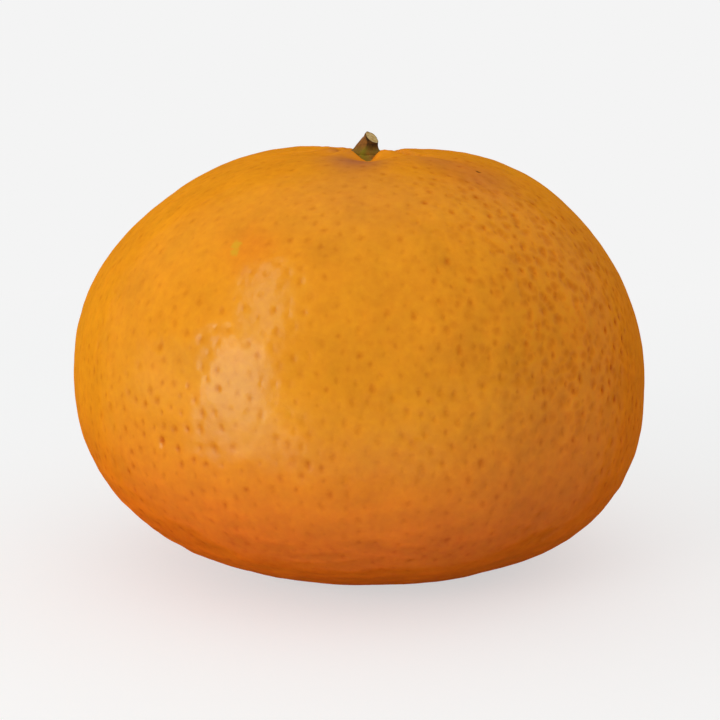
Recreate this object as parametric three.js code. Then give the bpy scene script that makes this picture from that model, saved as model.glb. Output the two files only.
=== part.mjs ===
// A loose-skinned orange of the mandarin kind, as picked: the whole fruit, the calyx that sits in the
// puckered pit at its stem end, and the stub of the stem, snipped off at a slant.
//
// Millimetres, +Z up, front towards -Y. The fruit rests at z = 0 on the small flat ring round its
// blossom end, and the origin is at that level under the middle of its bounding box. A bearing is an
// angle round the fruit in degrees: 0 is the front (-Y) and 90 the right (+X). A latitude is an angle
// above the widest level, as on a globe. A spread is the half-width of a bell-shaped mark.
import * as THREE from "three";

// Driving dimensions of the fruit
const WIDTH = 70; // left to right, before the cheeks and hollows below
const DEPTH = 68; // front to back
const CROWN = 29.2; // from the widest level up to the crown, before the stem end sinks in
const BASE = 22.9; // from the widest level down to the blossom end
const CROWN_SQUARENESS = 2.4; // exponents of the outline: 2 is an ellipse, more is squarer
const BASE_SQUARENESS = 2.6;
const FLATTENED = 0.3; // how much of the base the fruit's own weight has flattened
const BOW_TOP = 1; // how far the ends of the fruit's axis lie to the right of its middle
const BOW_BASE = 1.5;

// Stem end: a wide shallow saucer, a low collar of pleats round a tight pit, higher in front than
// behind, and the furrows between the pleats, each deepest at its peak distance from the axis
const SAUCER = { depth: 1, spread: 10 };
const COLLAR = { height: 0.4, tilt: 0.3, radius: 4.6, spread: 2 };
const PIT = { depth: 2.6, spread: 2.8 };
const FURROWS = [
  { bearing: -2, depth: 1.25, spread: 16, peak: 4.4 },
  { bearing: 4, depth: 0.35, spread: 7.5, peak: 4.4 },
  { bearing: 46, depth: 0.5, spread: 9, peak: 3.8 },
  { bearing: 84, depth: 0.6, spread: 9, peak: 4.2 },
  { bearing: 137, depth: 0.6, spread: 7, peak: 6.2 },
  { bearing: 178, depth: 0.6, spread: 10, peak: 4 },
  { bearing: 223, depth: 0.6, spread: 7, peak: 6.2 },
  { bearing: 266, depth: 0.6, spread: 9, peak: 4.2 },
  { bearing: 316, depth: 0.5, spread: 9, peak: 4 },
];

// Blossom end: a small navel inside the flat ring
const NAVEL = { depth: 0.9, radius: 4.5 };

// Shallow valleys down the sides, where the peel lies over the gap between two segments, and a
// faint ridge (the negative depth)
const VALLEYS = [
  { bearing: 4, depth: 0.25, spread: 7 },
  { bearing: 25, depth: -0.12, spread: 7 },
  { bearing: 39, depth: 0.4, spread: 8 },
  { bearing: 118, depth: 0.25, spread: 10 },
  { bearing: 163, depth: 0.3, spread: 9 },
  { bearing: 236, depth: 0.3, spread: 10 },
  { bearing: 292, depth: 0.2, spread: 9 },
];

// Broad cheeks (positive heights) and hollows (negative) that make the fruit uneven
const SWELLINGS = [
  { bearing: 92, latitude: 30, height: -1.3, spread: 22 },
  { bearing: 90, latitude: 2, height: 0.6, spread: 20 },
  { bearing: 80, latitude: -52, height: 0.5, spread: 20 },
  { bearing: 150, latitude: -22, height: 0.7, spread: 22 },
  { bearing: 162, latitude: 71, height: -0.4, spread: 10 },
  { bearing: 176, latitude: 24, height: -0.7, spread: 24 },
  { bearing: 180, latitude: 72, height: -0.6, spread: 8 },
  { bearing: 214, latitude: 4, height: 0.5, spread: 20 },
  { bearing: 238, latitude: 66, height: 0.24, spread: 20 },
  { bearing: 270, latitude: 38, height: -0.8, spread: 20 },
  { bearing: 270, latitude: 6, height: 0.4, spread: 22 },
  { bearing: 272, latitude: -32, height: -1.1, spread: 18 },
];

// Calyx and stem
const SEPALS = 5;
const CALYX_RADIUS = 2.7; // to the tips of the sepals
const SEPAL_THICKNESS = 0.35;
const SEPAL_NOTCH = 0.28; // share of the radius by which the gaps between sepals draw in
const SEPAL_GROOVE = 0.12; // how far the sepals dip between their tips and the button
const BUTTON_RADIUS = 1.95; // where the stem stands on the calyx
const BUTTON_HEIGHT = 1.9;
const STEM_RADIUS = 1.1; // at the snipped end
const STEM_HEIGHT = 2.36; // up to the high side of the cut
const STEM_TAPER = 0.7; // exponent of its narrowing: 1 is an even cone, less is more flared
const STEM_LEAN = 25; // degrees from upright, to the right
const CUT_SLANT = 34; // degrees between the cut and the level
const CUT_BEARING = 58; // the way the cut faces
const GAP = 0.3; // between neighbouring solids

// Fineness of the solids
const MERIDIANS = 80;
const PARALLELS = 46;
const CROWDING = 0.12; // how much the parallels crowd towards the two ends
const CALYX_SIDES = 8 * SEPALS;
const STEM_SIDES = 20;
const STEM_ROWS = 5;

const radians = THREE.MathUtils.degToRad;
const degrees = THREE.MathUtils.radToDeg;

// 1 at the middle of a mark, falling smoothly away on both sides.
const bell = (distance, spread) => Math.exp(-((distance / spread) ** 2));

// The difference between two bearings, from -180 to 180 degrees.
const turn = (from, to) => THREE.MathUtils.euclideanModulo(to - from + 180, 360) - 180;

const bearingOf = (v) => degrees(Math.atan2(v.x, -v.y));

// The unit vector that points out of the fruit at a bearing and a polar angle from the stem.
function outward(bearing, polar) {
  const round = radians(bearing);
  return new THREE.Vector3(
    Math.sin(polar) * Math.sin(round),
    -Math.sin(polar) * Math.cos(round),
    Math.cos(polar),
  );
}

// Distance from the middle of the widest level to the even, undented outline.
function outline(polar) {
  const above = Math.cos(polar) > 0;
  const reach = above ? CROWN : BASE;
  const power = above ? CROWN_SQUARENESS : BASE_SQUARENESS;
  const across = Math.sin(polar) / (WIDTH / 2);
  const along = Math.abs(Math.cos(polar)) / reach;
  return (across ** power + along ** power) ** (-1 / power);
}

function swelling(direction) {
  let height = 0;
  for (const s of SWELLINGS) {
    const middle = outward(s.bearing, radians(90 - s.latitude));
    height += s.height * bell(degrees(direction.angleTo(middle)), s.spread);
  }
  return height;
}

function sideValley(bearing, polar) {
  let depth = 0;
  for (const v of VALLEYS) depth += v.depth * bell(turn(v.bearing, bearing), v.spread);
  return depth * Math.sin(polar) ** 4;
}

// How far the stem end lies below the outline at a distance from the axis, between the furrows.
function stemHollow(bearing, distance) {
  const sunk = SAUCER.depth * bell(distance, SAUCER.spread) + PIT.depth * bell(distance, PIT.spread);
  const collar = COLLAR.height + COLLAR.tilt * Math.cos(radians(bearing));
  return sunk - collar * bell(distance - COLLAR.radius, COLLAR.spread);
}

function furrow(bearing, distance) {
  let depth = 0;
  for (const f of FURROWS) {
    const near = distance / f.peak;
    depth += f.depth * bell(turn(f.bearing, bearing), f.spread) * near * Math.exp((1 - near ** 2) / 2);
  }
  return depth;
}

// A point of the peel.
function peelPoint(bearing, polar) {
  const above = Math.cos(polar) > 0;
  const direction = outward(bearing, polar);
  let reach = outline(polar) + swelling(direction) - sideValley(bearing, polar);
  const distance = reach * Math.sin(polar);
  if (above) reach -= stemHollow(bearing, distance) + furrow(bearing, distance);
  const point = direction.multiplyScalar(reach);

  const share = point.z / (above ? CROWN : BASE);
  point.x += (above ? BOW_TOP : BOW_BASE) * share ** 2;
  point.y *= DEPTH / WIDTH;
  point.z = Math.max(point.z + BASE - FLATTENED, 0);
  if (!above && distance < NAVEL.radius) {
    point.z += NAVEL.depth * (1 - (distance / NAVEL.radius) ** 2) ** 2;
  }
  return point;
}

// Moves every vertex of a geometry to place(vertex).
function reshape(geometry, place) {
  const position = geometry.getAttribute("position");
  const vertex = new THREE.Vector3();
  for (let i = 0; i < position.count; i++) {
    const moved = place(vertex.fromBufferAttribute(position, i));
    position.setXYZ(i, moved.x, moved.y, moved.z);
  }
  geometry.computeVertexNormals();
  return geometry;
}

// The whole fruit: a globe whose parallels crowd towards its two ends, where the shape is finest.
function fruitGeometry() {
  const globe = new THREE.SphereGeometry(1, MERIDIANS, PARALLELS).rotateX(Math.PI / 2);
  return reshape(globe, (v) => {
    const share = Math.acos(THREE.MathUtils.clamp(v.z, -1, 1)) / Math.PI;
    const polar = Math.PI * (share - CROWDING * Math.sin(2 * Math.PI * share));
    return peelPoint(bearingOf(v), polar);
  });
}

// The calyx: turned from a profile whose underside follows the front of the pit, where the wall is
// steepest, then notched into sepals.
function calyxGeometry() {
  const pitWall = (radius) => stemHollow(0, 0) - stemHollow(0, radius);
  const underside = [0, 0.25, 0.5, 0.75, 1].map((share) => {
    return new THREE.Vector2(share * CALYX_RADIUS, pitWall(share * CALYX_RADIUS));
  });
  const tip = pitWall(CALYX_RADIUS) + SEPAL_THICKNESS;
  const groove = (BUTTON_RADIUS + CALYX_RADIUS) / 2;
  const topside = [
    new THREE.Vector2(CALYX_RADIUS, tip),
    new THREE.Vector2(groove, tip - SEPAL_GROOVE),
    new THREE.Vector2(BUTTON_RADIUS, BUTTON_HEIGHT),
    new THREE.Vector2(0, BUTTON_HEIGHT),
  ];
  const turned = new THREE.LatheGeometry([...underside, ...topside], CALYX_SIDES);
  return reshape(turned.rotateX(Math.PI / 2), (v) => {
    const radius = Math.hypot(v.x, v.y);
    const outer = THREE.MathUtils.smoothstep(radius, BUTTON_RADIUS, CALYX_RADIUS);
    const between = (1 - Math.cos(radians(SEPALS * bearingOf(v)))) / 2;
    const drawnIn = 1 - SEPAL_NOTCH * outer * between;
    return v.set(v.x * drawnIn, v.y * drawnIn, v.z);
  });
}

// The stem stub: flared at its foot, leaning, with its top on the slanted plane of the cut.
function stemGeometry() {
  const blank = new THREE.CylinderGeometry(1, 1, 1, STEM_SIDES, STEM_ROWS).rotateX(Math.PI / 2);
  const fall = Math.tan(radians(CUT_SLANT));
  const lean = Math.tan(radians(STEM_LEAN));
  const facing = outward(CUT_BEARING, Math.PI / 2);
  return reshape(blank, (v) => {
    const share = v.z + 0.5;
    const radius = THREE.MathUtils.lerp(BUTTON_RADIUS, STEM_RADIUS, share ** STEM_TAPER);
    const x = v.x * radius;
    const y = v.y * radius;
    const top = STEM_HEIGHT - fall * (x * facing.x + y * facing.y + STEM_RADIUS);
    return v.set(x + lean * share * top, y, share * top);
  });
}

function finish(color, roughness) {
  return new THREE.MeshStandardMaterial({ color, roughness, metalness: 0 });
}

function piece(name, geometry, material) {
  const mesh = new THREE.Mesh(geometry, material);
  mesh.name = name;
  return mesh;
}

const fruit = piece("fruit", fruitGeometry(), finish(0xe08a1e, 0.45));
const calyx = piece("calyx", calyxGeometry(), finish(0x7c7a2c, 0.7));
const stem = piece("stem", stemGeometry(), finish(0x8a7440, 0.8));

// The calyx stands in the pit, and the stem on the calyx.
const stalk = new THREE.Group();
stalk.add(calyx, stem);
stalk.position.copy(peelPoint(0, 0));
stalk.position.z += GAP;
stem.position.z = BUTTON_HEIGHT + GAP;

const orange = new THREE.Group();
orange.add(fruit, stalk);
const middle = new THREE.Box3().setFromObject(orange, true).getCenter(new THREE.Vector3());
orange.position.set(-middle.x, -middle.y, 0);

export default orange;
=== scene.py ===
"""The looks of an orange of the mandarin kind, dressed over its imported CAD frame.

Three grown pieces stand for the three CAD nodes: the skin with its pores, the calyx in the puckered
stem end, and the stub of the stem. Their shape repeats the formulas of the CAD part, in its
millimetres, and settle() carries them into the frame, in metres. A bearing is an angle round the
fruit in degrees: 0 is the front (-Y) and 90 the right (+X). A latitude is an angle above the widest
level, and a spread is the half-width of a bell-shaped mark.
"""

import math

import bpy
import numpy as np
from mathutils import Matrix, Vector, kdtree, noise
from mathutils.geometry import delaunay_2d_cdt


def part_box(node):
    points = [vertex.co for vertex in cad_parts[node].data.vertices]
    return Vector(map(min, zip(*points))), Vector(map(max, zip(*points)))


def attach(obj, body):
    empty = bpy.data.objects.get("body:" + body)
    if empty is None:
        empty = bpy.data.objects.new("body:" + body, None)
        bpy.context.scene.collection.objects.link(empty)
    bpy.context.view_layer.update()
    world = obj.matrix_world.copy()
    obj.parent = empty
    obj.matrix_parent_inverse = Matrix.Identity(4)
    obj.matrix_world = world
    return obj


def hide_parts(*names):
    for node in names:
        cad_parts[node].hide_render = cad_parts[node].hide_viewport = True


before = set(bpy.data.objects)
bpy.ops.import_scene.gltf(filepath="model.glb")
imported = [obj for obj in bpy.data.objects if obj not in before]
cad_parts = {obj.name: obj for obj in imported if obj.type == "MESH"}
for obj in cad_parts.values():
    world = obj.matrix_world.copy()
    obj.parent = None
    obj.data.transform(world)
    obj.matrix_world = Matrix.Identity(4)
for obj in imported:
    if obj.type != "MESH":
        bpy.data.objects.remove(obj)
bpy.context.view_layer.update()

# The even shape of the fruit, as in the CAD part
WIDTH = 70
DEPTH = 68
CROWN = 29.2
BASE = 22.9
CROWN_SQUARENESS = 2.4
BASE_SQUARENESS = 2.6
FLATTENED = 0.3
BOW_TOP = 1
BOW_BASE = 1.5
SAUCER_DEPTH, SAUCER_SPREAD = 1, 10
COLLAR_HEIGHT, COLLAR_TILT, COLLAR_RADIUS, COLLAR_SPREAD = 0.4, 0.3, 4.6, 2
PIT_DEPTH, PIT_SPREAD = 2.6, 2.8
NAVEL_DEPTH, NAVEL_RADIUS = 0.9, 4.5

# Furrows between the pleats of the stem end: bearing, depth, spread and peak distance from the axis
FURROWS = [
    (-2, 1.25, 16, 4.4),
    (4, 0.35, 7.5, 4.4),
    (46, 0.5, 9, 3.8),
    (84, 0.6, 9, 4.2),
    (137, 0.6, 7, 6.2),
    (178, 0.6, 10, 4),
    (223, 0.6, 7, 6.2),
    (266, 0.6, 9, 4.2),
    (316, 0.5, 9, 4),
]

# Shallow valleys down the sides, and one faint ridge: bearing, depth and spread
VALLEYS = [
    (4, 0.25, 7),
    (25, -0.12, 7),
    (39, 0.4, 8),
    (118, 0.25, 10),
    (163, 0.3, 9),
    (236, 0.3, 10),
    (292, 0.2, 9),
]

# Broad cheeks and hollows: bearing, latitude, height and spread
SWELLINGS = [
    (92, 30, -1.3, 22),
    (90, 2, 0.6, 20),
    (80, -52, 0.5, 20),
    (150, -22, 0.7, 22),
    (162, 71, -0.4, 10),
    (176, 24, -0.7, 24),
    (180, 72, -0.6, 8),
    (214, 4, 0.5, 20),
    (238, 66, 0.24, 20),
    (270, 38, -0.8, 20),
    (270, 6, 0.4, 22),
    (272, -32, -1.1, 18),
]

# Short notches across the collar round the stem, given as the furrows are
NOTCHES = [
    (52, 0.35, 4, 7),
    (-72, 0.35, 4, 7),
    (150, 0.25, 4, 7),
]

# Calyx and stem, as in the CAD part
SEPALS = 5
CALYX_RADIUS = 2.7
SEPAL_THICKNESS = 0.35
SEPAL_NOTCH = 0.28
BUTTON_RADIUS = 1.95
BUTTON_HEIGHT = 1.9
STEM_RADIUS = 1.1
STEM_HEIGHT = 2.36
STEM_TAPER = 0.7
STEM_LEAN = 25
CUT_SLANT = 34
CUT_BEARING = 58
GAP = 0.3

# Finer shape of the calyx
CALYX_SIDES = 240
UNDERSIDE_SHARES = np.linspace(0.15, 1, 8)  # of the rim's radius, at its rings of points
TOPSIDE_SHARES = np.linspace(1, 0, 14)[:-1]  # of the way from the button's edge to the rim
BUTTON_SHARES = (0.8, 0.5, 0.2)  # of the button's radius
SUNK = 0.12  # how deep the calyx and the stub are each seated in the piece below
BUTTON_TOP = GAP + BUTTON_HEIGHT
BUTTON_SIDE = 0.97 * BUTTON_RADIUS  # radius of its flat top
RIM_RAGGEDNESS, RAG_SIZE = 0.03, 9  # share of the rim's radius, and size in degrees
RIM_BULGE = 1.01  # share of the rim's radius that its edge reaches
LIP_SHARE = 0.35  # of the sepals' thickness, between two of them, and twice that at their tips
SEPAL_CURVE = 0.8  # power that draws each sepal up to the button's edge
SEPAL_GROOVE = (0.14, 0.45, 0.25)  # depth, and middle and spread as shares of the way to the rim
SEPAL_FOLDS = (0.05, 0.4)  # height and size

# Finer shape of the stub
STEM_SIDES, STEM_ROWS = 120, 24
STEM_FOOT = 0.99 * BUTTON_SIDE  # radius at which it meets the button
RIDGE_FOOT, RIDGE_TURN = -8, -105  # bearing of the ridge at the foot, and its turn up to the cut
RIDGE_SPREAD = 30
STEM_FULLNESS = 0.97  # share of its even radius that the stub has on its ridge
STEM_FLATS = [(42, 0.13, 30), (-40, 0.1, 28)]  # bearing from the ridge, depth and spread
RIBS, RIB_START, RIB_DEPTH = 5, -20, 0.04
BARK_ROUGHNESS, BARK_SIZE = 0.03, (12, 0.5)  # its size is in degrees and in millimetres of height
CUT_RINGS = [(0.9, 0.02), (0.78, 0.1), (0.55, 0.08), (0.3, 0.06), (0.1, 0.08)]  # share and dent

# Pores of the oil glands
PORE_SPACING = 1.45  # the least distance between two
PORE_TRIES = 70000
PORE_RADIUS = 0.5
PORE_SIZES = (0.65, 1.2)
PORE_DEPTH = 0.13
PORE_PROFILE = 0.6  # share of the radius at which a pore's wall falls off
PORE_RINGS = [(0.4, 6), (1.0, 9)]  # share of the radius and number of points
PORE_CLEARANCE = 1.4  # radii round a pore kept free of other points

# Height of a pore for its width: for all of them, then more or less near a latitude: the latitude,
# the amount and its spread
EVEN_STRETCH = 1.1
STRETCHES = [
    (0, 0.3, 35),
    (-38, -0.55, 18),
]

# How strongly the pores show: the usual strength, how far it swings from patch to patch and the
# patches' size, the limits of that, and the range of a factor drawn for each pore
PORE_PATCHES = (0.72, 0.5, 9)
PORE_LIMITS = (0.2, 1.2)
PORE_CHANCE = (0.6, 1.1)

# Where the pores show more or less: bearing, latitude, amount and spread, in groups that multiply
PORE_REGIONS = [
    [(-45, 40, -0.6, 42)],
    [(45, 15, 0.7, 26), (-33, 0, 0.9, 12)],
    [(50, -32, -0.75, 28), (-5, -38, -0.5, 32)],
]
FAINT_PORES = (-55, -0.35, 15)  # near the base: latitude, amount and spread

# Fineness of the skin between the pores
FILL_POINTS = 42000
CROWN_FILL_POINTS = 110000  # the same, at the closer spacing near the stem
CROWN_FILL_LATITUDE = 70
FILL_JITTER = 0.15
FOOT_HEIGHT = 0.8  # below this the skin smooths out towards the flat ring that it rests on
NOISE_USUAL, NOISE_TOP = 0.7, 0.8  # how far up or down noise_at() mostly goes, and at most
DENT_HEIGHT, DENT_SIZE = 0.08, 9
FINE_DEPTH = 0.09  # what the fine unevenness comes to, in its hollows
SEED = 7

# Fine unevenness, in bumps of the height and size given. Upright wrinkles and level streaks have
# their size in degrees of bearing and of latitude
LUMP_HEIGHT, LUMP_SIZE = 0.05, 4.4
BUMP_HEIGHT, BUMP_SIZE = 0.04, 2.6
GRAIN_HEIGHT, GRAIN_SIZE = 0.03, 1.4
GRAIN_ON_RIGHT = 0.045
WRINKLE_HEIGHT, WRINKLE_SIZE = 0.015, (2.6, 8)
WRINKLES_ON_RIGHT, WRINKLES_ON_LEFT = 0.06, 0.015
STREAK_HEIGHT, STREAK_SIZE = 0.11, (7, 1.9)
STREAK_BELT = (-26, 16)  # latitude and spread
CALM_STREAKS = (48, 0.4, 28)  # where they are lower: bearing, share and spread
RIGHT_CHEEK = (47, 24, 10, 28)  # bearing and its spread, latitude and its spread
LEFT_CHEEK = (-66, 16, 0, 30)

# Creases that run to the stem
CREASE_DEPTH, CREASE_SIZE = 0.28, 0.16
CREASE_RADIUS, CREASE_SPREAD = 4.2, 4.2
CREASE_LENGTH = 22


def bell(distance, spread):
    """1 at the middle of a mark, falling smoothly away on both sides."""
    return np.exp(-((distance / spread) ** 2))


def turn(start, end):
    """The difference between two bearings, from -180 to 180 degrees."""
    return (end - start + 180) % 360 - 180


def outward(bearing, latitude):
    """Unit vectors out of the fruit at a bearing and latitude."""
    b, l = np.broadcast_arrays(np.radians(bearing), np.radians(latitude))
    return np.stack([np.cos(l) * np.sin(b), -np.cos(l) * np.cos(b), np.sin(l)], -1)


def unit(vectors):
    return vectors / np.linalg.norm(vectors, axis=-1, keepdims=True)


def bearing_of(directions):
    return np.degrees(np.arctan2(directions[:, 0], -directions[:, 1]))


def latitude_of(directions):
    return np.degrees(np.arcsin(np.clip(directions[:, 2], -1, 1)))


def apart(directions, bearing, latitude):
    """Degrees between each direction and the place at a bearing and latitude."""
    return np.degrees(np.arccos(np.clip(directions @ outward(bearing, latitude), -1, 1)))


def sum_marks(directions, marks):
    """What marks, each a bearing, latitude, amount and spread, add up to in these directions."""
    return sum(amount * bell(apart(directions, b, l), spread) for b, l, amount, spread in marks)


def sum_belts(directions, belts):
    """What belts round the fruit, each a latitude, amount and spread, add up to."""
    latitude = latitude_of(directions)
    return sum(amount * bell(latitude - middle, spread) for middle, amount, spread in belts)


def stem_hollow(bearing, distance):
    """How far the stem end lies below the outline at a distance from the axis, between the furrows."""
    sunk = SAUCER_DEPTH * bell(distance, SAUCER_SPREAD) + PIT_DEPTH * bell(distance, PIT_SPREAD)
    collar = COLLAR_HEIGHT + COLLAR_TILT * np.cos(np.radians(bearing))
    return sunk - collar * bell(distance - COLLAR_RADIUS, COLLAR_SPREAD)


def furrow(bearing, distance, furrows=FURROWS):
    """Depth of the furrows, or others given like them, at a distance from the axis."""
    depth = np.zeros_like(distance)
    for middle, deep, spread, peak in furrows:
        near = distance / peak
        depth += deep * bell(turn(middle, bearing), spread) * near * np.exp((1 - near**2) / 2)
    return depth


def peel(directions):
    """Points of the even skin in these directions, as the CAD part's formula gives them."""
    bearing = bearing_of(directions)
    sine = np.hypot(directions[:, 0], directions[:, 1])
    cosine = directions[:, 2]
    above = cosine > 0
    rise = np.where(above, CROWN, BASE)
    power = np.where(above, CROWN_SQUARENESS, BASE_SQUARENESS)
    reach = ((sine / (WIDTH / 2)) ** power + (np.abs(cosine) / rise) ** power) ** (-1 / power)
    for middle, latitude, height, spread in SWELLINGS:
        reach += height * bell(apart(directions, middle, latitude), spread)
    for middle, depth, spread in VALLEYS:
        reach -= depth * bell(turn(middle, bearing), spread) * sine**4
    distance = reach * sine
    reach -= np.where(above, stem_hollow(bearing, distance) + furrow(bearing, distance), 0)

    points = directions * reach[:, None]
    share = points[:, 2] / rise
    points[:, 0] += np.where(above, BOW_TOP, BOW_BASE) * share**2
    points[:, 1] *= DEPTH / WIDTH
    points[:, 2] = np.maximum(points[:, 2] + BASE - FLATTENED, 0)
    in_navel = ~above & (distance < NAVEL_RADIUS)
    points[in_navel, 2] += NAVEL_DEPTH * (1 - (distance[in_navel] / NAVEL_RADIUS) ** 2) ** 2
    return points


def even_directions(count):
    """Directions spread evenly over a globe along a spiral."""
    step = np.arange(count) + 0.5
    golden_angle = 180 * (3 - math.sqrt(5))
    return outward(step * golden_angle, np.degrees(np.arcsin(1 - 2 * step / count)))


EVEN_SKIN = peel(even_directions(FILL_POINTS))


def settle(points):
    """Carries points of the CAD part's formulas into the frame, in metres."""
    low, high = (np.array(corner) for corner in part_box("fruit"))
    share = (points - EVEN_SKIN.min(0)) / (EVEN_SKIN.max(0) - EVEN_SKIN.min(0))
    return low + share * (high - low)


# Geometry of the skin


def scatter_pores(rng):
    """Directions of the pores: random, but no two of them nearer than PORE_SPACING on the skin."""
    tries = unit(rng.normal(size=(PORE_TRIES, 3)))
    places = peel(tries)
    cells = np.floor(places / PORE_SPACING).astype(int)
    around = [(i, j, k) for i in (-1, 0, 1) for j in (-1, 0, 1) for k in (-1, 0, 1)]
    taken = {}
    kept = []
    for index, (place, cell) in enumerate(zip(places.tolist(), cells.tolist())):
        near = [taken.get((cell[0] + i, cell[1] + j, cell[2] + k), []) for i, j, k in around]
        if all(math.dist(place, other) >= PORE_SPACING for others in near for other in others):
            taken.setdefault(tuple(cell), []).append(place)
            kept.append(index)
    return tries[kept]


def pore_ring(pores, radius, count, stretch):
    """Directions of a small ring round each pore, stretched up and down the fruit."""
    east = unit(np.column_stack([-pores[:, 1], pores[:, 0], np.zeros(len(pores))]))
    north = np.cross(pores, east)
    ring = []
    for step in range(count):
        angle = 2 * math.pi * step / count
        aside = math.cos(angle) * east + math.sin(angle) * stretch[:, None] * north
        ring.append(unit(pores + radius[:, None] * aside))
    return np.concatenate(ring)


def fill_directions(rng, pore_places):
    """Directions between the pores, a little jittered, and closer together near the stem."""
    fills = []
    for count, in_crown in ((FILL_POINTS, False), (CROWN_FILL_POINTS, True)):
        even = even_directions(count)
        even = even[(latitude_of(even) > CROWN_FILL_LATITUDE) == in_crown]
        spacing = math.sqrt(4 * math.pi / count)
        fills.append(unit(even + rng.normal(scale=FILL_JITTER * spacing, size=even.shape)))
    fill = np.concatenate(fills)
    finder = kdtree.KDTree(len(pore_places))
    for index, place in enumerate(pore_places):
        finder.insert(place, index)
    finder.balance()
    return fill[[finder.find(place)[2] > PORE_CLEARANCE * PORE_RADIUS for place in peel(fill)]]


def triangulate(directions):
    """Triangles of the globe's Delaunay mesh: those of its flat map, which is drawn from the first
    direction, the stem's, and a fan round that direction itself."""
    rest = directions[1:]
    flat_map = rest[:, :2] / (1 - rest[:, 2:])
    made = delaunay_2d_cdt([Vector(p) for p in flat_map], [], [], 0, 1e-9, True)
    number = np.array([ids[0] for ids in made[3]])
    faces = number[np.array(made[2])] + 1
    sides = np.concatenate([faces[:, [0, 1]], faces[:, [1, 2]], faces[:, [2, 0]]])
    shared = set(map(tuple, sides[:, ::-1].tolist()))
    rim = np.array([side for side in sides.tolist() if tuple(side) not in shared])
    fan = np.column_stack([rim[:, 1], rim[:, 0], np.zeros(len(rim), int)])
    return np.concatenate([faces, fan])[:, ::-1]


def vertex_normals(points, faces):
    """Outward unit vectors at the points, from the faces round each."""
    a, b, c = (points[faces[:, i]] for i in range(3))
    across = np.cross(b - a, c - a)
    normals = np.zeros_like(points)
    for i in range(3):
        np.add.at(normals, faces[:, i], across)
    return unit(normals)


def noise_at(points, size, layer):
    """Smooth noise about zero, in bumps about size across. Layers differ."""
    shift = Vector((17.3, 5.9, 31.7)) * layer
    return np.array([noise.noise(p / size + shift) for p in map(Vector, points)])


def unevenness(points, directions):
    """How far the skin lies below the even shape, and the fine part of it, about its mean."""
    bearing = bearing_of(directions)
    latitude = latitude_of(directions)
    distance = np.hypot(points[:, 0] - BOW_TOP, points[:, 1])

    def on_map(size):
        """The places on a map by bearing and latitude, where one unit is this size in degrees."""
        return np.column_stack([bearing / size[0], latitude / size[1], np.zeros(len(points))])

    def on_cheek(middle, width, level, height):
        return bell(turn(middle, bearing), width) * bell(latitude - level, height)

    on_right = on_cheek(*RIGHT_CHEEK)
    wrinkles = WRINKLE_HEIGHT + WRINKLES_ON_RIGHT * on_right + WRINKLES_ON_LEFT * on_cheek(*LEFT_CHEEK)
    calm_bearing, calm, calm_spread = CALM_STREAKS
    belt_latitude, belt_spread = STREAK_BELT
    streaks = STREAK_HEIGHT * bell(latitude - belt_latitude, belt_spread)
    streaks *= 1 - calm * bell(turn(calm_bearing, bearing), calm_spread)
    layers = [
        (LUMP_HEIGHT, noise_at(points, LUMP_SIZE, 13)),
        (BUMP_HEIGHT, noise_at(points, BUMP_SIZE, 2)),
        (GRAIN_HEIGHT + GRAIN_ON_RIGHT * on_right, noise_at(points, GRAIN_SIZE, 10)),
        (wrinkles, noise_at(on_map(WRINKLE_SIZE), 1, 3)),
        (streaks, noise_at(on_map(STREAK_SIZE), 1, 12)),
    ]
    fine = sum(height * relief for height, relief in layers)
    dents = DENT_HEIGHT * (NOISE_TOP + noise_at(points, DENT_SIZE, 1)) + fine
    dents += NOISE_TOP * sum(height for height, relief in layers)

    round_stem = np.radians(bearing)
    radial = np.column_stack([np.cos(round_stem), np.sin(round_stem), distance / CREASE_LENGTH])
    by_stem = bell(distance - CREASE_RADIUS, CREASE_SPREAD) * np.abs(noise_at(radial, CREASE_SIZE, 4))
    creases = CREASE_DEPTH * by_stem + furrow(bearing, distance, NOTCHES)
    creases = np.where(directions[:, 2] > 0, creases, 0)
    off_floor = np.clip(points[:, 2] / FOOT_HEIGHT, 0, 1)
    return (dents + creases) * off_floor, fine * off_floor


def pore_strength(pores, places):
    """How strongly the pores show in each part of the skin, apart from chance."""
    usual, swing, patch_size = PORE_PATCHES
    strength = np.clip(usual + swing * noise_at(places, patch_size, 5), *PORE_LIMITS)
    for region in PORE_REGIONS:
        strength *= 1 + sum_marks(pores, region)
    return strength * (1 + sum_belts(pores, [FAINT_PORES]))


def skin():
    """Points and faces of the fruit, with the direction and the pore's hollow at each point."""
    rng = np.random.default_rng(SEED)
    pores = scatter_pores(rng)
    places = peel(pores)
    reach = np.linalg.norm(places - [0, 0, BASE - FLATTENED], axis=1)
    size = rng.uniform(*PORE_SIZES, len(pores))
    chance = rng.uniform(*PORE_CHANCE, len(pores))
    stretch = EVEN_STRETCH + sum_belts(pores, STRETCHES)
    strength = size * chance * pore_strength(pores, places)

    stem_place = outward(0, 90)[None]
    fill = fill_directions(rng, places)
    groups = [stem_place, pores, fill]
    hollows = [np.zeros(1), strength, np.zeros(len(fill))]
    for share, count in PORE_RINGS:
        groups.append(pore_ring(pores, PORE_RADIUS * size * share / reach, count, stretch))
        hollows.append(np.tile(strength * bell(share, PORE_PROFILE), count))
    directions = np.concatenate(groups)
    hollow = np.concatenate(hollows)

    points = peel(directions)
    faces = triangulate(directions)
    uneven, fine = unevenness(points, directions)
    depth = uneven + PORE_DEPTH * hollow
    shaped = points - depth[:, None] * vertex_normals(points, faces)
    return shaped, faces, directions, hollow, fine / FINE_DEPTH


# Geometry of the calyx and the stem, measured from the floor of the pit

PIT_FLOOR = peel(outward(0, 90)[None])[0]


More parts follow.
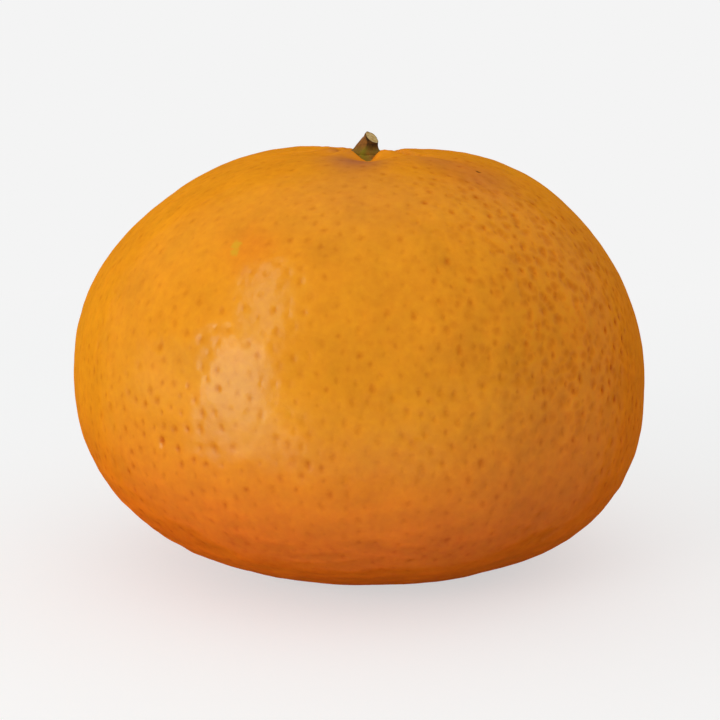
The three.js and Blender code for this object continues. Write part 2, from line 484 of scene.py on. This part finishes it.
def turned(rows):
    """Points and faces of a closed body from rings of points, low to high on the outside, between
    its first and last rows, which are single points."""
    sides = len(rows[1])
    points = np.concatenate(rows)
    faces = []
    for row in range(len(rows) - 3):
        a = 1 + row * sides
        b = a + sides
        for i in range(sides):
            j = (i + 1) % sides
            faces.append((a + i, a + j, b + j, b + i))
    last = len(points) - 1
    top = last - sides
    for i in range(sides):
        j = (i + 1) % sides
        faces.append((0, 1 + j, 1 + i))
        faces.append((top + i, top + j, last))
    return points, faces


def ring(bearing, radius, height):
    """A ring of points at a radius and height, each one number or one for every bearing."""
    across = outward(bearing, 0) * np.reshape(radius, (-1, 1))
    across[:, 2] = height
    return across


def calyx():
    """The button of sepals: each sepal lies against the wall of the pit and curls away at its tip."""
    bearing = np.linspace(0, 360, CALYX_SIDES, endpoint=False)
    lobe = (1 + np.cos(np.radians(SEPALS * bearing))) / 2
    ragged = noise_at(np.column_stack([bearing / RAG_SIZE, 0 * bearing, 0 * bearing]), 1, 6)
    rim = CALYX_RADIUS * (1 - SEPAL_NOTCH * (1 - lobe) + RIM_RAGGEDNESS * ragged)
    groove_depth, groove_place, groove_spread = SEPAL_GROOVE
    fold_height, fold_size = SEPAL_FOLDS

    def wall(radius):
        return stem_hollow(0, 0) - stem_hollow(bearing, radius) - furrow(bearing, radius)

    rows = [[[0, 0, -SUNK]]]
    for share in UNDERSIDE_SHARES:
        rows.append(ring(bearing, rim * share, wall(rim * share) - SUNK))
    lip = wall(rim) + SEPAL_THICKNESS * LIP_SHARE * (1 + lobe)
    rows.append(ring(bearing, rim * RIM_BULGE, (wall(rim) - SUNK + lip) / 2))
    for share in TOPSIDE_SHARES:
        radius = BUTTON_SIDE + (rim - BUTTON_SIDE) * share
        fold = fold_height * noise_at(ring(bearing, radius, 0), fold_size, 7)
        groove = groove_depth * bell(share - groove_place, groove_spread)
        down = share**SEPAL_CURVE
        height = lip * down + BUTTON_TOP * (1 - down) - groove + fold
        rows.append(ring(bearing, radius, np.minimum(height, BUTTON_TOP)))
    for share in BUTTON_SHARES:
        rows.append(ring(bearing, BUTTON_SIDE * share, BUTTON_TOP))
    rows.append([[0, 0, BUTTON_TOP]])
    return turned(rows)


def stem_ridge(height):
    """Bearing of the ridge that winds down the stub, from the tip of the cut to the front."""
    return RIDGE_FOOT + RIDGE_TURN * np.clip(height / STEM_HEIGHT, 0, 1) ** 3


def stem_faces(bearing, height):
    """Share of its even radius that the stub has on its ridge, its flats, its ribs and between."""
    past_ridge = turn(stem_ridge(height), bearing)
    flat = sum(depth * bell(turn(middle, past_ridge), spread) for middle, depth, spread in STEM_FLATS)
    rib = (1 + np.cos(np.radians(RIBS * (bearing - RIB_START)))) / 2
    around, upward = BARK_SIZE
    rough = noise_at(np.column_stack([bearing / around, height / upward, 0 * bearing]), 1, 9)
    share = STEM_FULLNESS - flat - RIB_DEPTH * rib * (1 - bell(past_ridge, RIDGE_SPREAD))
    return share - BARK_ROUGHNESS * (NOISE_USUAL - rough)


def stem():
    """The stub: ridged bark, flared at its foot and leaning, under a slanted cut with a raised rim."""
    bearing = np.linspace(0, 360, STEM_SIDES, endpoint=False)
    fall = math.tan(math.radians(CUT_SLANT))
    lean = math.tan(math.radians(STEM_LEAN))
    facing = np.cos(np.radians(turn(CUT_BEARING, bearing)))

    def row(share, radius, dent=0.0):
        height = share * (STEM_HEIGHT - fall * (radius * facing + STEM_RADIUS) - dent)
        across = outward(bearing, 0) * np.reshape(radius, (-1, 1))
        return across + np.column_stack([lean * height, 0 * height, BUTTON_TOP + GAP + height])

    foot = [ring(bearing, STEM_FOOT, BUTTON_TOP - depth) for depth in (SUNK, SUNK / 2)]
    rows = [[[0, 0, BUTTON_TOP - SUNK]], *foot]
    for share in np.linspace(0, 1, STEM_ROWS):
        even = BUTTON_RADIUS + (STEM_RADIUS - BUTTON_RADIUS) * share**STEM_TAPER
        height = row(share, even)[:, 2] - BUTTON_TOP - GAP
        edge = even * stem_faces(bearing, height)
        rows.append(row(share, edge))
    for share, dent in CUT_RINGS:
        rows.append(row(1, edge * share, dent))
    rows.append(row(1, 0 * bearing, CUT_RINGS[-1][1])[:1])
    return turned(rows)


# Building the scene


def add_mesh(name, points, faces, material):
    mesh = bpy.data.meshes.new(name)
    mesh.from_pydata(settle(points).tolist(), [], [tuple(face) for face in faces])
    mesh.materials.append(material)
    mesh.shade_smooth()
    piece = bpy.data.objects.new(name, mesh)
    bpy.context.scene.collection.objects.link(piece)
    return piece


def add_measure(piece, name, values):
    """Keeps a number for each point of the piece, which its material reads by name."""
    kept = piece.data.attributes.new(name, "FLOAT", "POINT")
    kept.data.foreach_set("value", values.astype(np.float32))


def dress(piece, node):
    """Puts the piece on the fruit's body, in place of its CAD node."""
    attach(piece, "root")
    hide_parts(node)


# Materials


def linear(colour):
    """A colour written as on a screen, #rrggbb, in the linear light that shaders take."""
    parts = [int(colour[i : i + 2], 16) / 255 for i in (1, 3, 5)]
    return [c / 12.92 if c <= 0.04045 else ((c + 0.055) / 1.055) ** 2.4 for c in parts] + [1]


class Shader:
    """A material or world under construction: its methods add nodes and give their output."""

    def __init__(self, name, owner=None):
        self.material = owner or bpy.data.materials.new(name)
        self.material.use_nodes = True
        self.tree = self.material.node_tree
        self.surface = self.tree.nodes.get("Principled BSDF")
        self.place = self.node("ShaderNodeTexCoord").outputs["Object"]

    def feed(self, socket, value):
        if isinstance(value, bpy.types.NodeSocket):
            self.tree.links.new(value, socket)
        else:
            socket.default_value = value

    def node(self, kind, inputs=(), **settings):
        made = self.tree.nodes.new(kind)
        for name, value in settings.items():
            setattr(made, name, value)
        for socket, value in dict(inputs).items():
            self.feed(made.inputs[socket], value)
        return made

    def set(self, **inputs):
        for name, value in inputs.items():
            self.feed(self.surface.inputs[name.replace("_", " ")], value)

    def measure(self, name):
        return self.node("ShaderNodeAttribute", attribute_name=name).outputs["Fac"]

    def speckle(self, size, detail=3, rough=0.5):
        """Noise from 0 to 1 in bumps about size millimetres across."""
        inputs = {"Vector": self.place, "Scale": 1000 / size, "Detail": detail, "Roughness": rough}
        return self.node("ShaderNodeTexNoise", inputs).outputs["Fac"]

    def cells(self, size):
        """From 0 in the middle of each small cell, about size millimetres across, to about 0.8."""
        noise_inputs = {"Vector": self.place, "Scale": 1000 / size, "Detail": 2}
        noise_colour = self.node("ShaderNodeTexNoise", noise_inputs).outputs["Color"]
        wander = self.scale(noise_colour, 0.8 * size / 1000)
        place = self.node("ShaderNodeVectorMath", {0: self.place, 1: wander}, operation="ADD")
        inputs = {"Vector": place.outputs["Vector"], "Scale": 1000 / size}
        return self.node("ShaderNodeTexVoronoi", inputs).outputs["Distance"]

    def spot(self, bearing, latitude, radius, ragged):
        """A small mark on the skin at a bearing and latitude, with an uneven outline."""
        middle = settle(peel(outward(bearing, latitude)[None]))[0]
        away = self.node("ShaderNodeVectorMath", {0: self.place, 1: middle}, operation="DISTANCE")
        wander = self.math("MULTIPLY", self.speckle(0.5, 3), ragged / 1000)
        reach = self.math("ADD", away.outputs["Value"], wander)
        edge = (radius + ragged / 2) / 1000
        return self.spread(reach, edge * 0.75, edge, 1.0, 0.0)

    def math(self, operation, *values):
        return self.node("ShaderNodeMath", dict(enumerate(values)), operation=operation).outputs[0]

    def spread(self, value, low, high, start=0.0, end=1.0):
        """start below low, end above high, and an even change between."""
        inputs = {"Value": value, "From Min": low, "From Max": high, "To Min": start, "To Max": end}
        return self.node("ShaderNodeMapRange", inputs).outputs["Result"]

    def blend(self, share, first, second, how="MIX"):
        inputs = {0: share, 6: first, 7: second}
        made = self.node("ShaderNodeMix", inputs, data_type="RGBA", blend_type=how)
        return made.outputs[2]

    def scale(self, colour, factor):
        made = self.node("ShaderNodeVectorMath", {0: colour, "Scale": factor}, operation="SCALE")
        return made.outputs["Vector"]

    def ramp(self, value, stops):
        made = self.node("ShaderNodeValToRGB", {"Fac": value})
        ends = made.color_ramp.elements
        for index, (position, colour) in enumerate(stops):
            stop = ends[index] if index < 2 else ends.new(position)
            stop.position = position
            stop.color = linear(colour)
        return made.outputs["Color"]

    def bump(self, height, depth):
        """Relief of a depth in millimetres where height goes from 0 to 1."""
        inputs = {"Height": height, "Distance": depth / 1000, "Strength": 1.0}
        return self.node("ShaderNodeBump", inputs).outputs["Normal"]


# The peel: its colours, and what varies them and the gloss, with sizes in millimetres
GOLDEN, RED_ORANGE = "#f4a81d", "#ee6a17"
RUSSET_AND_SHADE = "#bf7142"
PORE_SHADE = "#deb680"  # what a pore leaves of the colour round it: partly the oil gland's own darker tint, partly painted shade in its pit
PATCH_SIZE, PATCH_SHARE = 6, 0.2
FLECK_SIZE, FLECK_SHARE = 0.8, 0.3
RAGGED_SIZE = 0.8  # of the unevenness of the pores' outlines
RIPENESS_VARIATION = 0.95
DIP_SHADE = 0.25  # painted shade: what the hollows of the fine unevenness add to the variation of lightness
LIGHTEST, DARKEST = 1.25, 0.81
COBBLE_SIZE, COBBLE_DEPTH = 1.25, 0.08
COBBLE_SHADE = 0.75  # of a pore's shade, between the cobbles, as painted shade in their dimples
COBBLE_LIGHTNESS = 1.14  # of the cobbles themselves
GRAIN_SPECK, GRAIN_RELIEF = 0.5, 0.014
WAX_SIZE, WAX_ROUGHNESS, PORE_ROUGHNESS = 5, (0.36, 0.48), 0.15
COAT_FADE = (0.2, 0.65)  # how edge-on the skin is where the coat starts to fade and ends
COAT_WEIGHT, COAT_AT_EDGE, COAT_IN_PORES = 0.38, 0.01, 0.4
COAT_ROUGHNESS = 0.2

# Small marks on the peel: bearing, latitude, radius, raggedness and colour
MARKS = [
    (48.6, 57.1, 0.45, 0.5, "#7a3f10"),
    (-29.3, 35.1, 0.75, 0.9, "#eba722"),
    (-28.9, 33.6, 0.65, 0.9, "#eba722"),
]


def peel_material():
    s = Shader("peel")
    cobbling = s.measure("cobbling")
    dimple = s.math("MULTIPLY", s.spread(s.cells(COBBLE_SIZE), 0.15, 0.6, 1, 0), cobbling)
    ragged = s.spread(s.speckle(RAGGED_SIZE, 2), 0.35, 0.65, 0.5, 1.15)
    hollow = s.math("MULTIPLY", s.measure("hollow"), ragged)
    # The cobbles' dimples take painted shade, as the pores do
    hollow = s.math("MAXIMUM", hollow, s.math("MULTIPLY", dimple, COBBLE_SHADE))

    patch = s.math("MULTIPLY", s.speckle(PATCH_SIZE, 4, 0.6), PATCH_SHARE)
    fleck = s.math("MULTIPLY", s.speckle(FLECK_SIZE, 3, 0.6), FLECK_SHARE)
    uneven = s.math("SUBTRACT", s.math("ADD", patch, fleck), (PATCH_SHARE + FLECK_SHARE) / 2)
    # Ripeness reddens and darkens the colour, partly as painted shade at the base and on the right
    ripe_and_shade = s.math("ADD", s.measure("ripeness_and_shade"), s.math("MULTIPLY", uneven, RIPENESS_VARIATION))
    colour = s.ramp(ripe_and_shade, [(0.0, GOLDEN), (1.0, RED_ORANGE)])
    # Painted shade: the hollows of the fine unevenness darken the colour
    uneven = s.math("ADD", uneven, s.math("MULTIPLY", s.measure("dip"), DIP_SHADE))
    colour = s.scale(colour, s.spread(uneven, -0.5, 0.5, LIGHTEST, DARKEST))
    # Brownish pink: the skin's own russet, and painted shade in front of the stem
    colour = s.blend(s.measure("russet_and_shade"), colour, linear(RUSSET_AND_SHADE))
    colour = s.scale(colour, s.spread(cobbling, 0, 1, 1, COBBLE_LIGHTNESS))
    # Pores and dimples darken the colour: the glands' own tint, and painted shade in the pits and
    # dimples
    colour = s.blend(hollow, colour, linear(PORE_SHADE), "MULTIPLY")
    for bearing, latitude, radius, raggedness, tint in MARKS:
        colour = s.blend(s.spot(bearing, latitude, radius, raggedness), colour, linear(tint))

    grain = s.math("MULTIPLY", s.speckle(GRAIN_SPECK, 3), GRAIN_RELIEF)
    relief = s.bump(s.math("SUBTRACT", grain, s.math("MULTIPLY", dimple, COBBLE_DEPTH)), 1.0)
    waxy = s.spread(s.speckle(WAX_SIZE), 0.3, 0.7, *WAX_ROUGHNESS)
    facing = s.node("ShaderNodeLayerWeight", {"Blend": 0.5}).outputs["Facing"]
    coat = s.spread(facing, *COAT_FADE, COAT_WEIGHT, COAT_AT_EDGE)
    s.set(
        Base_Color=colour,
        Roughness=s.math("ADD", waxy, s.math("MULTIPLY", hollow, PORE_ROUGHNESS)),
        Normal=relief,
        Coat_Normal=relief,
        Specular_IOR_Level=0.0,
        Coat_Weight=s.math("MULTIPLY", coat, s.spread(hollow, 0, 1, 1, COAT_IN_PORES)),
        Coat_Roughness=COAT_ROUGHNESS,
    )
    return s.material


def set_dry(s, colour, relief_size):
    """Gives a dry, matt plant surface this colour and a fine relief."""
    s.set(
        Base_Color=colour,
        Roughness=0.8,
        Specular_IOR_Level=0.2,
        Normal=s.bump(s.speckle(relief_size, 4), 0.03),
    )


def calyx_material():
    s = Shader("calyx")
    husk = s.ramp(s.speckle(1.2, 4), [(0.35, "#a2882a"), (0.7, "#ae742a")])
    set_dry(s, s.blend(s.measure("greenness"), husk, linear("#8f9c12")), 0.25)
    return s.material


def stem_material():
    s = Shader("stem")
    grain = s.speckle(0.5, 4)
    # Painted light and shade: a dark copy of the bark for the face turned from the light, a lit one
    # for the flank
    bark = s.ramp(grain, [(0.35, "#2c1a04"), (0.7, "#664009")])
    lit_flank = s.ramp(grain, [(0.3, "#72480e"), (0.7, "#a06426")])
    foot = s.ramp(s.speckle(0.9, 3), [(0.35, "#7c6414"), (0.65, "#94661a")])
    wood = s.ramp(s.speckle(0.35, 4), [(0.3, "#b9934a"), (0.7, "#e6cb8c")])
    colour = s.blend(s.measure("lit_flank"), bark, lit_flank)
    colour = s.blend(s.measure("foot"), colour, foot)
    colour = s.blend(s.measure("greenness"), colour, linear("#7f8a0c"))
    set_dry(s, s.blend(s.measure("cut"), colour, wood), 0.2)
    return s.material


# Ripeness, from 0, golden, to 1, red-orange and darker, with painted shade in it. The base is riper,
# partly its own colour and partly painted shade, and so are these places: bearing, latitude, amount
# and spread. The first, on the side turned from the light, is partly painted shade as well.
EVEN_RIPENESS = 0.29
BASE_RIPENESS_AND_SHADE = 0.85
RIPENING_AND_SHADE_LATITUDES = (8, -25)  # where the base's colour, partly painted shade, sets in and is full
BLUSHES_AND_SIDE_SHADE = [
    (64, 0, 0.28, 32),
    (34, -2, 0.06, 10),
    (-25, 34, 0.2, 5),
    (44, 58, 0.14, 9),
    (0, 90, 0.1, 22),
]

# Where the skin is brownish pink, in the same terms: russet of its own, and painted shade in the
# furrow and valley in front of the stem
RUSSETS_AND_SHADE = [
    # These three, and the fifth, are painted shade in the furrow and valley in front of the stem
    (-15, 71, 0.5, 6),
    (-6, 63, 0.4, 6),
    (-3, 68, 0.45, 5),
    (-50, 82, 0.5, 4),
    (-3, 48, 0.15, 13),
    (46, 54, 0.4, 8),
    (64, 33, 0.15, 13),
    (40, 66, 0.35, 6),
    (0, 90, 0.4, 6),
    (0, -90, 0.5, 3),
]

# How cobbled the peel is, and where more or less so, in the same terms
EVEN_COBBLING = 0.12
COBBLING = [
    (46, 18, 0.72, 24),
    (40, 45, 0.3, 14),
    (60, -40, -0.1, 30),
]


def ripeness_and_shade(directions):
    """Ripeness of the skin in these directions, with painted shade at the base and on the right side.
    """
    start, full = RIPENING_AND_SHADE_LATITUDES
    share = np.clip((latitude_of(directions) - start) / (full - start), 0, 1)
    even = EVEN_RIPENESS + sum_marks(directions, BLUSHES_AND_SIDE_SHADE)
    return even + (BASE_RIPENESS_AND_SHADE - even) * share**2 * (3 - 2 * share)


def add_fruit():
    points, faces, directions, hollow, dip = skin()
    piece = add_mesh("skin", points, faces, peel_material())
    add_measure(piece, "hollow", hollow)
    add_measure(piece, "dip", dip)
    add_measure(piece, "cobbling", np.clip(sum_marks(directions, COBBLING) + EVEN_COBBLING, 0, 1))
    add_measure(piece, "ripeness_and_shade", ripeness_and_shade(directions))
    add_measure(piece, "russet_and_shade", np.clip(sum_marks(directions, RUSSETS_AND_SHADE), 0, 1))
    dress(piece, "fruit")


# Colours round the calyx and the stub. The green is given as an amount and spread on each. The stub's
# bark is painted lighter on the flank that faces the light and darker beyond its ridge, as painted
# light and shade
GREEN_BEARING = -10
CALYX_GREEN = (0.5, 13)
STEM_GREEN = (0.6, 12)
GREEN_HEIGHT = 0.8  # where the green of the stub ends
FOOT_FADE = 1.3  # how fast the colour of the stub's foot gives way to bark, per millimetre
FLANK_END = -130  # bearing from the ridge at which the flank painted lighter, as if lit, ends
FLANK_BLUR = 7  # degrees over which it sets in, at the ridge


def add_calyx():
    points, faces = calyx()
    piece = add_mesh("calyx_button", points + PIT_FLOOR, faces, calyx_material())
    amount, spread = CALYX_GREEN
    add_measure(piece, "greenness", amount * bell(turn(GREEN_BEARING, bearing_of(points)), spread))
    dress(piece, "calyx")


def add_stem():
    points, faces = stem()
    piece = add_mesh("stem_stub", points + PIT_FLOOR, faces, stem_material())
    height = points[:, 2] - BUTTON_TOP - GAP
    aside = points[:, 0] - math.tan(math.radians(STEM_LEAN)) * height
    bearing = np.degrees(np.arctan2(aside, -points[:, 1]))
    past_ridge = turn(stem_ridge(height), bearing)
    # The flank that faces the light gets the painted lit colour
    lit_flank = np.clip(0.5 - past_ridge / FLANK_BLUR, 0, 1) * (past_ridge > FLANK_END)
    amount, spread = STEM_GREEN
    green = amount * bell(turn(GREEN_BEARING, bearing), spread) * np.clip(GREEN_HEIGHT - height, 0, 1)
    cut = np.zeros(len(points))
    cut[-len(CUT_RINGS) * STEM_SIDES - 1 :] = 1
    add_measure(piece, "foot", np.clip(1 - FOOT_FADE * height, 0, 1))
    add_measure(piece, "greenness", green)
    add_measure(piece, "lit_flank", lit_flank)
    add_measure(piece, "cut", cut)
    dress(piece, "stem")


# Stage

BACKGROUND = "#f4f4f4"
FLOOR_COLOUR = (0.475, 0.485, 0.485)
FLOOR_GLOW = 0.62
FLOOR_FADE = (0.06, 0.22)  # distances from the fruit between which the table fades
FLOOR_HALF = 3.0
FLOOR_LEVEL = -0.00002  # a hair under the fruit, so that the two never share a plane
CORNERS = [(-1, -1), (1, -1), (1, 1), (-1, 1)]
ROOM_LEVEL = 0.11  # of the room in front, where the skin reflects it
ROOM_EDGE = (-0.1, 0.5)  # how far behind, from -1 to 1, the room gives way to the backdrop
LIGHT_LEVEL = 0.645  # of the world round the object

# Panels of light that only light surfaces: the middles of the lower and upper edge, each a bearing,
# a distance from the axis and a height in metres, then the width and the brightness
LAMPS = {
    "daylight": ((-45, 0.4, 0), (-45, 0.4, 0.2), 0.2, 5.2),
    "right_fill": ((30, 0.4, 0), (30, 0.4, 0.2), 0.2, 0.5),
}

# Panels that only show as reflections in the skin, in the same terms, and their tint
REFLECTIONS = {
    "window": ((-43.5, 0.16, 0), (-43.5, 0.16, 0.08), 0.059, 6.7),
    "window_top": ((-34, 0.16, 0.095), (-55, 0.16, 0.25), 0.032, 5.6),
    "side_window": ((-76, 0.16, 0.005), (-76, 0.16, 0.052), 0.067, 1.1),
    "lit_table": ((-36, 0.15, 0.001), (-36, 0.095, 0.001), 0.075, 3.2),
    "table_front": ((-2, 0.12, 0.001), (-2, 0.07, 0.001), 0.08, 0.6),
}
GLOSS_TINT = (0.38, 0.98, 1)

CAMERA_LENS = 85
CAMERA_LATITUDE = 12
CAMERA_DISTANCE = 0.2119
CAMERA_AIM = (0.0001, 0, 0.00223)  # from the middle of the fruit's formula


def add_floor():
    """A pale table that keeps the shadow near the fruit and fades into the backdrop further off.
    From below it is clear, so that the underside shows."""
    s = Shader("floor")
    path = s.node("ShaderNodeLightPath").outputs
    seen = s.math("MAXIMUM", path["Is Camera Ray"], path["Is Glossy Ray"])
    matt = s.node("ShaderNodeBsdfDiffuse", {"Color": (*FLOOR_COLOUR, 1)}).outputs[0]
    glow_inputs = {"Color": linear(BACKGROUND), "Strength": s.math("MULTIPLY", seen, FLOOR_GLOW)}
    glow = s.node("ShaderNodeEmission", glow_inputs).outputs[0]
    near = s.node("ShaderNodeAddShader", {0: matt, 1: glow}).outputs[0]
    far = s.node("ShaderNodeEmission", {"Color": linear(BACKGROUND), "Strength": seen}).outputs[0]
    distance = s.node("ShaderNodeVectorMath", {0: s.place}, operation="LENGTH").outputs["Value"]
    table = s.node("ShaderNodeMixShader", {0: s.spread(distance, *FLOOR_FADE), 1: near, 2: far})
    from_below = s.math(
        "MULTIPLY", path["Is Camera Ray"], s.node("ShaderNodeNewGeometry").outputs["Backfacing"]
    )
    clear = s.node("ShaderNodeBsdfTransparent").outputs[0]
    both = s.node("ShaderNodeMixShader", {0: from_below, 1: table.outputs[0], 2: clear})
    s.tree.nodes.remove(s.surface)
    s.feed(s.tree.nodes["Material Output"].inputs["Surface"], both.outputs[0])

    mesh = bpy.data.meshes.new("floor")
    corners = [(x * FLOOR_HALF, y * FLOOR_HALF, FLOOR_LEVEL) for x, y in CORNERS]
    mesh.from_pydata(corners, [], [(0, 1, 2, 3)])
    mesh.materials.append(s.material)
    floor = bpy.data.objects.new("floor", mesh)
    bpy.context.scene.collection.objects.link(floor)


def add_world():
    """A pale backdrop behind the object. The room in front reflects less, and both light it evenly."""
    world = bpy.data.worlds.new("studio")
    bpy.context.scene.world = world
    world.use_nodes = True
    s = Shader("studio", world)
    path = s.node("ShaderNodeLightPath").outputs
    direction = s.node("ShaderNodeTexCoord").outputs["Generated"]
    behind = s.node("ShaderNodeVectorMath", {0: direction, 1: (0, 1, 0)}, operation="DOT_PRODUCT")
    backdrop = linear(BACKGROUND)[0]
    reflected = s.spread(behind.outputs["Value"], *ROOM_EDGE, ROOM_LEVEL, backdrop)
    level = s.spread(path["Is Glossy Ray"], 0, 1, LIGHT_LEVEL, reflected)
    level = s.spread(path["Is Camera Ray"], 0, 1, level, backdrop)
    s.feed(s.tree.nodes["Background"].inputs["Strength"], level)
    s.feed(s.tree.nodes["Background"].inputs["Color"], (1, 1, 1, 1))


MIDDLE = Vector(settle(np.array([[0, 0, BASE - FLATTENED]]))[0])


def add_panel(name, lower, upper, width, brightness, glossy):
    """A soft panel of light, facing the fruit, that lights surfaces or shows in them, but not both."""
    ends = [
        Vector(outward(bearing, 0)) * away + Vector((0, 0, height))
        for bearing, away, height in (lower, upper)
    ]
    middle = (ends[0] + ends[1]) / 2
    along = ends[1] - ends[0]
    across = along.cross(middle - MIDDLE).normalized()
    facing = across.cross(along).normalized()
    lamp = bpy.data.lights.new(name, "AREA")
    lamp.shape = "RECTANGLE"
    lamp.size = width
    lamp.size_y = along.length
    lamp.energy = brightness * math.pi * width * along.length
    lamp.color = GLOSS_TINT if glossy else (1, 1, 1)
    piece = bpy.data.objects.new(name, lamp)
    bpy.context.scene.collection.objects.link(piece)
    axes = Matrix((across, along.normalized(), facing)).transposed()
    piece.matrix_world = Matrix.Translation(middle) @ axes.to_4x4()
    piece.visible_camera = False
    piece.visible_glossy = glossy
    piece.visible_diffuse = not glossy


def add_camera():
    """Looks from in front and a little above."""
    camera = bpy.data.cameras.new("camera")
    camera.lens = CAMERA_LENS
    camera.clip_start = 0.01
    piece = bpy.data.objects.new("camera", camera)
    bpy.context.scene.collection.objects.link(piece)
    piece.location = MIDDLE + Vector(outward(0, CAMERA_LATITUDE)) * CAMERA_DISTANCE
    aim = MIDDLE + Vector(CAMERA_AIM)
    piece.rotation_euler = (aim - piece.location).to_track_quat("-Z", "Y").to_euler()
    bpy.context.scene.camera = piece


add_fruit()
add_calyx()
add_stem()
add_floor()
add_world()
for name, panel in LAMPS.items():
    add_panel(name, *panel, False)
for name, panel in REFLECTIONS.items():
    add_panel(name, *panel, True)
add_camera()
bpy.context.scene.view_settings.view_transform = "Standard"
